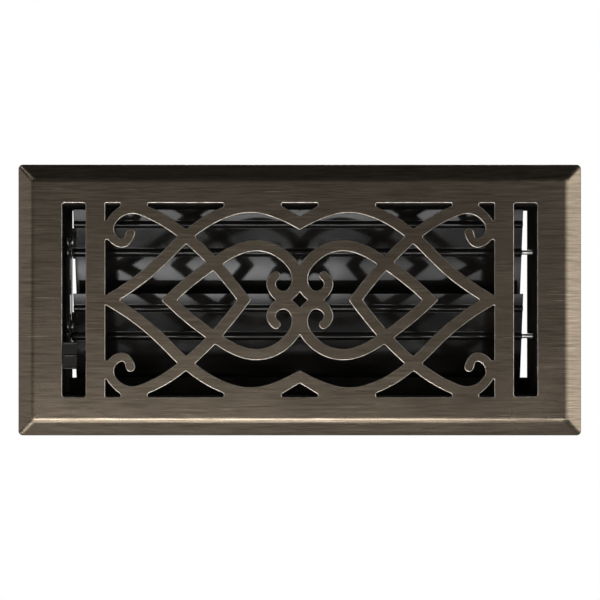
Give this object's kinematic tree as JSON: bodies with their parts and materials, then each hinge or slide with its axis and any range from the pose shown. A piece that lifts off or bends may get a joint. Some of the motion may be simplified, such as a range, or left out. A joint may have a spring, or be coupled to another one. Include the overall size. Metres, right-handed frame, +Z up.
{
  "type": "sidewall register",
  "caption": "Rectangular wall register: pierced scroll face with a bevelled rim over a box with a two-blade damper worked by a thumb lever in a side slot.",
  "frame": {"origin": "centre of the wall plane, at the back of the rim", "axes": "+Z up, +X to the right seen from the front, +Y into the wall; the face looks along -Y"},
  "size_m": [0.2902, 0.0531, 0.1396],
  "materials": {
    "face_metal": "antique brushed",
    "black_paint": "gloss",
    "plated_steel": "satin"
  },
  "bodies": {
    "frame": {"face_plate": "face_metal", "top_channel": "black_paint", "bottom_channel": "black_paint", "left_end_plate": "black_paint", "right_end_plate": "black_paint", "frame_rivets": "plated_steel", "weld_studs": "plated_steel", "stud_nuts": "plated_steel", "stop_angle": "black_paint"},
    "lower_damper": {"lower_blade": "black_paint", "lower_pivot_rod": "plated_steel", "lower_rod_retainers": "plated_steel", "lower_crank_arm": "black_paint", "lower_crank_rivet": "plated_steel"},
    "upper_damper": {"upper_blade": "black_paint", "upper_pivot_rod": "plated_steel", "upper_rod_retainers": "plated_steel", "upper_crank_arm": "black_paint", "upper_crank_rivet": "plated_steel"},
    "link": {"link_bar": "black_paint", "thumb_lever": "black_paint", "lever_rivets": "plated_steel"}
  },
  "joints": [
    {"name": "lower_pivot", "type": "hinge", "parent": "frame", "child": "lower_damper", "pos_m": [0, 0.0224, -0.019], "axis": [1, 0, 0], "range_deg": [-13, 70]},
    {"name": "upper_pivot", "type": "hinge", "parent": "frame", "child": "upper_damper", "pos_m": [0, 0.0224, 0.0252], "axis": [1, 0, 0], "range_deg": [-13, 70]},
    {"name": "link_pivot", "type": "hinge", "parent": "lower_damper", "child": "link", "pos_m": [-0.1204, 0.01273, -0.01375], "axis": [1, 0, 0], "range_deg": [-70, 13]}
  ],
  "couplings": [
    {"joint": "upper_pivot", "follows": "lower_pivot", "ratio": 1},
    {"joint": "link_pivot", "follows": "lower_pivot", "ratio": -1}
  ]
}
